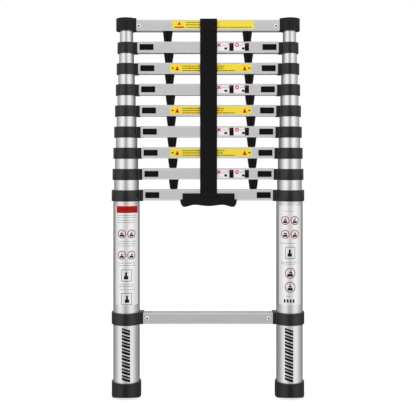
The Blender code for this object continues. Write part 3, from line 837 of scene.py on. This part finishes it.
# ------------------------------------------------------------------ rivets
def build_rivets():
    for k, insets, up in ((1, (0.0062, 0.0088), -0.0021), (10, (0.0106, 0.0104), 0.0011)):
        for s, side, inset_x in zip((-1, 1), SIDES, insets):
            for front, place in ((-1, "front"), (1, "back")):
                cx = s * (TUBE_X - FACE[k] - inset_x)
                z0 = RUNG_Z[k] + up
                bm = bmesh.new()
                profile = [(0.0050, -0.0006), (0.0050, 0.0003), (0.0048, 0.0007), (0.0043, 0.0012), (0.0036, 0.0015), (0.0028, 0.0016), (0.0023, 0.0014)]
                rows = [[(cx + r * math.cos(a), front * (RUNG_Y + h), z0 + r * math.sin(a)) for a in (i * 2 * math.pi / 32 for i in range(32))]
                        for r, h in profile]
                skin(bm, rows, closed=False, caps=False)
                bm.faces.new([v for v in bm.verts][:32])
                # the hollow in the middle of the head takes the near-black core material: painted shade
                core = [(0.0023, 0.0014), (0.0022, 0.0002), (0.0010, 0.0001)]
                inner = [[(cx + r * math.cos(a), front * (RUNG_Y + h), z0 + r * math.sin(a)) for a in (i * 2 * math.pi / 32 for i in range(32))]
                         for r, h in core]
                faces = skin(bm, inner, closed=False, caps=False, material=1)
                last = [v for v in bm.verts][-32:]
                f = bm.faces.new(last)
                f.material_index = 1
                bmesh.ops.remove_doubles(bm, verts=bm.verts, dist=0.00001)
                new_piece(f"{side}_{place}_rivet_{k}", bm, [M["rivet"], M["rivet_core"]], STAGE[min(k, LAST)], "rung_aluminium", angle=40)


# ------------------------------------------------------------------ printed labels
class Print:
    """Thin printed marks on a surface. place(u, v, height) maps a flat label, in metres, to a point."""

    def __init__(self, place, steps):
        self.bm = bmesh.new()
        self.place = place
        self.step = steps

    def sheet(self, outline, low, high, material):
        """A thin closed sheet over an outline that runs anticlockwise in (u, v)."""
        rows = [[self.place(u, v, h) for u, v in outline] for h in (low, high)]
        skin(self.bm, rows, closed=False, caps=True, material=material)

    def rect(self, u0, v0, u1, v1, low, high, material):
        """A rectangle, split along u so that it follows a curved surface."""
        n = max(1, math.ceil(abs(u1 - u0) / self.step))
        us = [u0 + (u1 - u0) * i / n for i in range(n + 1)]
        self.strip([(u, v0) for u in us], [(u, v1) for u in us], low, high, material)

    def strip(self, under, over, low, high, material):
        """A thin closed strip between two rows of (u, v) points with equal counts."""
        n = len(under) - 1
        grids = []
        for h in (low, high):
            grids.append([[self.bm.verts.new(self.place(u, v, h)) for u, v in row] for row in (under, over)])
        quads = []
        for g in grids:
            for i in range(n):
                quads.append((g[0][i], g[0][i + 1], g[1][i + 1], g[1][i]))
        a, b = grids
        for i in range(n):
            quads.append((a[0][i], a[0][i + 1], b[0][i + 1], b[0][i]))
            quads.append((a[1][i], a[1][i + 1], b[1][i + 1], b[1][i]))
        for i in (0, n):
            quads.append((a[0][i], a[1][i], b[1][i], b[0][i]))
        for q in quads:
            self.bm.faces.new(q).material_index = material

    def annulus(self, u, v, r0, r1, low, high, material, n=32):
        rows = []
        for r, h in ((r1, low), (r1, high), (r0, high), (r0, low)):
            rows.append([self.place(u + r * math.cos(a), v + r * math.sin(a), h) for a in (i * 2 * math.pi / n for i in range(n))])
        skin(self.bm, rows, material=material)

    def words(self, u0, u1, v, tall, low, high, material, seed, space=0.0012):
        """A line of plain dashes of uneven length: it holds no letters."""
        rng = random.Random(seed)
        u = u0
        while u < u1 - 0.0015:
            w = min(rng.uniform(0.0030, 0.0085), u1 - u)
            self.rect(u, v - tall / 2, u + w, v + tall / 2, low, high, material)
            u += w + space


def flat_place(x0, z0):
    def place(u, v, h):
        return (x0 + u, -RUNG_Y - h, z0 + v)
    return place


def build_rung_labels():
    h0, h1 = 0.00010, 0.00020
    for k in range(1, LAST):
        z0 = RUNG_Z[k]
        p = Print(flat_place(0, z0), 1.0)
        if k % 2:
            left, right = (-0.0861, 0.1115) if k == 1 else (-0.0917, 0.1057)
            p.rect(left, -0.0096, right, 0.0097, -0.00005, 0.00014, 0)
            red, ink = 1, 2
            if k == 1:
                # a plain triangle over a plain bar
                t = -0.0695
                p.sheet([(t - 0.0047, 0.0002), (t + 0.0047, 0.0002), (t, 0.0078)], h0, h1, red)
                p.rect(t - 0.0118, -0.0072, t + 0.0118, -0.0040, h0, h1, red)
                for v, end, seed in ((0.0062, -0.012, 1), (0.0006, -0.012, 2), (-0.0056, 0.105, 3)):
                    p.words(-0.0530, end, v, 0.0019, h0, h1, ink, seed)
            else:
                for t in (-0.0747, 0.0890):
                    p.sheet([(t - 0.0050, -0.0056), (t + 0.0050, -0.0056), (t, 0.0060)], h0, h1, red)
                p.rect(-0.0884, -0.0014, -0.0828, 0.0017, h0, h1, 4)
                p.rect(0.0973, -0.0014, 0.1031, 0.0017, h0, h1, 4)
                for v, end, seed in ((0.0050, 0.0395, 1), (-0.0002, 0.0370, 2), (-0.0058, 0.0655, 3)):
                    p.words(-0.0620, end, v, 0.0021, h0, h1, ink, 10 * k + seed, 0.0009)
            new_piece(f"rung_{k}_yellow_label", p.bm, [M["yellow"], M["red"], M["ochre"], M["grey_ink"], M["moss_ink"]], STAGE[k], "rung_aluminium", angle=20)
        else:
            red, ink, dark = 1, 2, 3
            p.rect(0.0192, -0.0094, 0.0998, 0.0099, -0.00005, 0.00014, 0)
            # two crossed plain strokes
            cx, cz, d, w = 0.0268, 0.0046, 0.0036, 0.0019
            for e in (-1, 1):
                p.sheet([(cx - d * e - w, cz - d), (cx - d * e + w, cz - d), (cx + d * e + w, cz + d), (cx + d * e - w, cz + d)],
                        h0, h1 + 0.00002 * e, red)
            p.annulus(0.0703, 0.0047, 0.0022, 0.0047, h0, h1, red)
            for a, b, seed in ((0.0335, 0.0440, 1), (0.0775, 0.0850, 2)):
                p.words(a, b, 0.0044, 0.0012, h0, h1, ink, 20 * k + seed, 0.0008)
            for u in (0.0430, 0.0856):
                p.rect(u - 0.0032, -0.0062, u + 0.0030, -0.0008, h0, h1, dark)
            p.rect(0.0473, -0.0085, 0.0479, 0.0085, h0, h1, red)
            for a, b in ((0.0516, 0.0622), (0.0891, 0.0995)):
                p.rect(a, -0.0093, b, 0.0098, h0, h1, dark)
                p.sheet([(a - 0.0036, 0.0056), (b - 0.0034, 0.0054), (b - 0.0034, 0.0064), (a - 0.0036, 0.0070)], h1 - 0.00004, h1 + 0.00006, red)
            new_piece(f"rung_{k}_white_label", p.bm, [M["white"], M["red"], M["grey_ink"], M["black_ink"]], STAGE[k], "rung_aluminium", angle=20)


def tube_place(side, r, turn=0.0):
    """Flat label to tube. turn, in metres along the surface, moves it round towards +X."""
    cx = side * TUBE_X

    def place(u, v, h):
        a = (u + turn) / r
        q = r + h
        return (cx + q * math.sin(a), -q * math.cos(a), RUNG_Z[LAST] + v)
    return place


def build_tube_labels():
    """Clear films with plain marks on the base tubes. Heights are from rung 9."""
    r = TUBE_R[LAST]
    film, band, band_ink, red, ink, dark = range(6)
    mats = [M["film"], M["band"], M["band_ink"], M["red_ink"], M["grey_ink"], M["black_ink"]]
    h0, h1 = 0.00008, 0.00018

    def start(side):
        p = Print(tube_place(side, r, 0.0048 if side < 0 else -0.0036), 0.0016)
        p.rect(-0.0312 if side < 0 else -0.0284, -0.2640, 0.0312, -0.0248, -0.00006, 0.00012, film)
        return p

    def lines(p, rows, seed, width=0.024, tall=0.0011):
        for i, v in enumerate(rows):
            rng = random.Random(seed * 31 + i)
            p.words(-width + rng.uniform(0, 0.003), width - rng.uniform(0, 0.008), v, tall, h0, h1, ink, seed * 100 + i, 0.0010)

    def ringed(p, u, v, size, seed):
        """A plain ring round plain blocks."""
        p.annulus(u, v, size - 0.0020, size, h0, h1, red)
        rng = random.Random(seed)
        w = rng.uniform(0.44, 0.54) * size
        p.rect(u - w, v - 0.60 * size, u + w, v - 0.12 * size, h0, h1 - 0.00002, dark)
        p.rect(u - w * rng.uniform(0.3, 0.8), v - 0.04 * size, u + w * rng.uniform(0.3, 0.8), v + 0.26 * size, h0, h1 - 0.00002, dark)
        p.rect(u - w * rng.uniform(0.1, 0.5), v + 0.34 * size, u + w * rng.uniform(0.1, 0.5), v + 0.62 * size, h0, h1 - 0.00002, ink)

    def framed(p, u, v, w, seed):
        """A thin square frame round plain blocks."""
        t, e = 0.0141, 0.0011
        for a in ((u - w, v - t, u + w, v - t + e), (u - w, v + t - e, u + w, v + t), (u - w, v - t + e, u - w + e, v + t - e), (u + w - e, v - t + e, u + w, v + t - e)):
            p.rect(*a, h0, h1, dark)
        s = random.Random(seed).uniform(-0.002, 0.002)
        p.rect(u - 0.0052 + s, v - 0.0090, u + 0.0052 + s, v - 0.0015, h0, h1, dark)
        p.rect(u - 0.0024 + s, v - 0.0015, u + 0.0024 + s, v + 0.0080, h0, h1, dark)

    p = start(-1)
    p.rect(-0.0278, -0.0424, 0.0298, -0.0257, h0, h1, band)
    p.words(-0.021, 0.022, -0.0340, 0.0016, h1 - 0.00004, h1 + 0.00006, band_ink, 5)
    lines(p, (-0.0480, -0.0535, -0.0600, -0.0655), 1)
    for u in (-0.0130, 0.0110):
        ringed(p, u, -0.0928, 0.0105, 7 + int(u * 1000))
    lines(p, (-0.1105, -0.1160, -0.1215), 2)
    for u in (-0.0132, 0.0110):
        ringed(p, u, -0.1438, 0.0105, 17 + int(u * 1000))
    lines(p, (-0.1630, -0.1685), 3)
    framed(p, -0.0014, -0.1926, 0.0130, 4)
    lines(p, (-0.2148, -0.2194, -0.2270), 5, 0.021)
    framed(p, -0.0014, -0.2490, 0.0130, 6)
    new_piece("left_tube_label", p.bm, mats, "base", "tube_aluminium", angle=20)

    p = start(1)
    lines(p, (-0.0378,), 11, 0.014)
    for u in (-0.0103, 0.0136):
        ringed(p, u, -0.0605, 0.0106, 27 + int(u * 1000))
        ringed(p, u, -0.0934, 0.0106, 37 + int(u * 1000))
    lines(p, (-0.1155,), 12)
    framed(p, 0.0019, -0.1380, 0.0120, 13)
    lines(p, (-0.1610, -0.1652), 14)
    ringed(p, 0.0019, -0.1872, 0.0130, 15)
    ringed(p, 0.0019, -0.2208, 0.0130, 16)
    lines(p, (-0.2425,), 17, 0.012)
    for i in range(4):
        p.rect(-0.0135 + 0.0072 * i, -0.2580, -0.0135 + 0.0072 * i + 0.0042, -0.2500, h0, h1, dark)
    new_piece("right_tube_label", p.bm, mats, "base", "tube_aluminium", angle=20)

    # plain slanted bars low on each stile, above the foot
    top, low = RUNG_Z[10] - CLAMP_DOWN - 0.0018, FOOT_TOP + 0.0032
    count, w, skew = 16, 0.0102, 0.0065
    pitch = (top - skew - low) / count
    for side, name in ((-1, "left"), (1, "right")):
        p = Print(tube_place(side, r, 0.0055 if side < 0 else -0.0010), 0.0016)
        n_u = 12
        us = [-0.0035 - w + 2 * w * j / n_u for j in range(n_u + 1)]
        for i in range(count):
            v = low + pitch * i - RUNG_Z[LAST]
            tall = pitch * (0.60 if i % 2 else 0.78)

            def rise(u):
                return skew * (1 - (u + 0.0035 + w) / (2 * w))

            p.strip([(u, v + rise(u)) for u in us], [(u, v + tall + rise(u)) for u in us], -0.00006, 0.00010, 0)
        new_piece(f"{name}_tube_bars", p.bm, [M["black_ink"]], "base", "tube_aluminium", angle=20)


build_tubes()
build_rungs()
build_mouldings()
build_spacers()
build_latches()
build_feet()
build_handle()
build_strap()
build_rivets()
build_rung_labels()
build_tube_labels()


# ------------------------------------------------------------------ studio
def studio():
    scene = bpy.context.scene
    scene.view_settings.view_transform = "Standard"
    scene.view_settings.look = "None"

    # floor: pale and matt. It shows to the camera only, so that it doesn't wash out the reflections in the metal
    mesh = bpy.data.meshes.new("floor")
    mesh.from_pydata([(-30, -30, -0.0004), (30, -30, -0.0004), (30, 30, -0.0004), (-30, 30, -0.0004)], [], [(0, 1, 2, 3)])
    floor = bpy.data.objects.new("floor", mesh)
    scene.collection.objects.link(floor)
    mat = bpy.data.materials.new("floor_pale")
    mat.use_nodes = True
    t = mat.node_tree
    bsdf = t.nodes["Principled BSDF"]
    bsdf.inputs["Roughness"].default_value = 0.9
    bsdf.inputs["Specular IOR Level"].default_value = 0.1
    bsdf.inputs["Base Color"].default_value = (0.34, 0.34, 0.34, 1)
    # a faint glow lifts the pale floor to the white of the surroundings
    bsdf.inputs["Emission Color"].default_value = (1, 1, 1, 1)
    bsdf.inputs["Emission Strength"].default_value = 0.735
    path = t.nodes.new("ShaderNodeLightPath")
    clear = t.nodes.new("ShaderNodeBsdfTransparent")
    choose = t.nodes.new("ShaderNodeMixShader")
    t.links.new(path.outputs["Is Camera Ray"], choose.inputs["Fac"])
    t.links.new(clear.outputs[0], choose.inputs[1])
    t.links.new(bsdf.outputs[0], choose.inputs[2])
    t.links.new(choose.outputs[0], t.nodes["Material Output"].inputs["Surface"])
    mesh.materials.append(mat)

    # the lights stand still relative to the camera, as when an object turns on a turntable
    turntable = bpy.data.objects.new("turntable", None)
    scene.collection.objects.link(turntable)

    # a dark card that stands edge-on to the camera behind the closed stages, seen only in reflections: it darkens the
    # inner edges of the upper tubes, more and more towards the edge, and leaves the outer edges alone
    mesh = bpy.data.meshes.new("flag")
    mesh.from_pydata([(0, 0.03, 0.50), (0, 1.60, 0.50), (0, 1.60, 0.96), (0, 0.03, 0.96)], [], [(0, 1, 2, 3)])
    flag = bpy.data.objects.new("flag", mesh)
    scene.collection.objects.link(flag)
    flag.parent = turntable
    for ray in ("camera", "diffuse", "transmission", "volume_scatter", "shadow"):
        setattr(flag, "visible_" + ray, False)
    mat = bpy.data.materials.new("flag_dark")
    mat.use_nodes = True
    t = mat.node_tree
    t.nodes.clear()
    place = t.nodes.new("ShaderNodeTexCoord")
    split = t.nodes.new("ShaderNodeSeparateXYZ")
    t.links.new(place.outputs["Object"], split.inputs[0])
    ramp = t.nodes.new("ShaderNodeValToRGB")
    ramp.color_ramp.elements.new(0.5)
    ramp.color_ramp.elements.new(0.5)
    for e, (depth, v) in zip(ramp.color_ramp.elements, ((0.03, 0.33), (0.09, 0.20), (0.21, 0.15), (0.60, 0.14))):
        e.position = depth
        e.color = (v, v, v, 1)
    t.links.new(split.outputs[1], ramp.inputs["Fac"])
    glow = t.nodes.new("ShaderNodeEmission")
    t.links.new(ramp.outputs["Color"], glow.inputs["Color"])
    end = t.nodes.new("ShaderNodeOutputMaterial")
    t.links.new(glow.outputs[0], end.inputs["Surface"])
    mesh.materials.append(mat)

    # surroundings: white to the camera. For light and reflections: a soft dark strip straight ahead, bright panels to
    # either side of it, darker behind, and pale above and below
    world = bpy.data.worlds.new("studio")
    scene.world = world
    world.use_nodes = True
    t = world.node_tree
    t.nodes.clear()
    out = t.nodes.new("ShaderNodeOutputWorld")
    coords = t.nodes.new("ShaderNodeTexCoord")
    coords.object = turntable
    sep = t.nodes.new("ShaderNodeSeparateXYZ")
    t.links.new(coords.outputs["Object"], sep.inputs[0])

    def m(op, a, b=None):
        n = t.nodes.new("ShaderNodeMath")
        n.operation = op
        for socket, value in zip(n.inputs, (a, b)):
            if value is None:
                continue
            if isinstance(value, (int, float)):
                socket.default_value = value
            else:
                t.links.new(value, socket)
        return n.outputs[0]

    def smooth(value, low, high):
        n = t.nodes.new("ShaderNodeMapRange")
        n.interpolation_type = "SMOOTHSTEP"
        n.inputs["From Min"].default_value = low
        n.inputs["From Max"].default_value = high
        t.links.new(value, n.inputs["Value"])
        return n.outputs["Result"]

    def blend(fac, a, b):
        n = t.nodes.new("ShaderNodeMix")
        n.data_type = "RGBA"
        t.links.new(fac, n.inputs["Factor"])
        for socket, value in ((n.inputs[6], a), (n.inputs[7], b)):
            if isinstance(value, (int, float)):
                socket.default_value = (value, value, value, 1)
            else:
                t.links.new(value, socket)
        return n.outputs[2]

    x, y, z = sep.outputs
    turn = m("DIVIDE", m("ARCTAN2", m("ABSOLUTE", x), m("MULTIPLY", y, -1)), math.pi)   # 0 straight ahead, 1 behind

    def round_about(stops):
        ramp = t.nodes.new("ShaderNodeValToRGB")
        while len(ramp.color_ramp.elements) < len(stops):
            ramp.color_ramp.elements.new(0.5)
        for e, (degrees, v) in zip(ramp.color_ramp.elements, stops):
            e.position = degrees / 180
            e.color = (v, v, v, 1)
        t.links.new(turn, ramp.inputs["Fac"])
        return ramp.outputs["Color"]

    low = round_about([(0, 0.37), (9, 0.42), (18, 0.60), (28, 0.82), (42, 1.00), (56, 0.98), (70, 0.82), (82, 0.64), (94, 0.46), (112, 0.32),
                       (138, 0.21), (180, 0.16)])
    high = round_about([(0, 0.34), (7, 0.41), (14, 0.64), (24, 0.95), (34, 1.12), (46, 1.08), (60, 0.90), (76, 0.68), (92, 0.53), (112, 0.45),
                        (138, 0.38), (180, 0.32)])
    around = blend(smooth(z, -0.06, 0.0), low, high)
    above = blend(smooth(z, 0.60, 0.90), blend(smooth(z, 0.18, 0.50), around, 0.80), 1.02)
    below = blend(smooth(m("MULTIPLY", z, -1), 0.45, 0.85), above, 0.85)
    # low down behind it is dark, as seen in the undersides of the rungs
    low_behind = m("MULTIPLY", smooth(y, 0.70, 0.95), smooth(m("MULTIPLY", z, -1), 0.02, 0.12))
    below = blend(low_behind, below, 0.04)
    light = t.nodes.new("ShaderNodeBackground")
    t.links.new(below, light.inputs["Color"])
    plain = t.nodes.new("ShaderNodeBackground")
    plain.inputs["Color"].default_value = (1, 1, 1, 1)
    path = t.nodes.new("ShaderNodeLightPath")
    choose = t.nodes.new("ShaderNodeMixShader")
    t.links.new(path.outputs["Is Camera Ray"], choose.inputs["Fac"])
    t.links.new(light.outputs[0], choose.inputs[1])
    t.links.new(plain.outputs[0], choose.inputs[2])
    t.links.new(choose.outputs[0], out.inputs["Surface"])

    # soft key and fill from above and in front, for gentle shadows at the feet
    for name, at, size, power in (("key", (-0.9, -1.7, 2.7), 1.6, 34), ("fill", (1.2, -1.4, 2.4), 1.8, 24)):
        lamp = bpy.data.lights.new(name, "AREA")
        lamp.shape = "SQUARE"
        lamp.size = size
        lamp.energy = power
        o = bpy.data.objects.new(name, lamp)
        scene.collection.objects.link(o)
        o.parent = turntable
        o.visible_glossy = False              # the panels of the surroundings make the reflections
        o.location = at
        o.rotation_euler = (Vector((0, 0, 0.45)) - Vector(at)).to_track_quat("-Z", "Y").to_euler()

    # camera: level, in front, with the horizon above the middle of the picture
    cam = bpy.data.cameras.new("camera")
    camera = bpy.data.objects.new("camera", cam)
    scene.collection.objects.link(camera)
    distance, width, horizon = 1.85, 1.0175, 0.582
    camera.location = (0, -distance, horizon)
    camera.rotation_euler = (math.radians(90), 0, 0)
    cam.sensor_width = 36
    cam.lens = 36 * distance / width
    # a view camera's shift puts the ladder in the middle without tilting its uprights. It is for this standpoint only
    lens = cam.driver_add("shift_y").driver
    for name, axis in (("y", "LOC_Y"), ("z", "LOC_Z")):
        v = lens.variables.new()
        v.name, v.type = name, "TRANSFORMS"
        v.targets[0].id = camera
        v.targets[0].transform_type = axis
        v.targets[0].transform_space = "WORLD_SPACE"
    lens.type = "SCRIPTED"
    lens.expression = f"-0.1202 if abs(y + {distance}) < 0.001 and abs(z - {horizon}) < 0.001 else 0"
    cam.clip_end = 100
    scene.camera = camera
    follow = turntable.constraints.new("COPY_ROTATION")
    follow.target = camera
    follow.use_x = follow.use_y = False


studio()
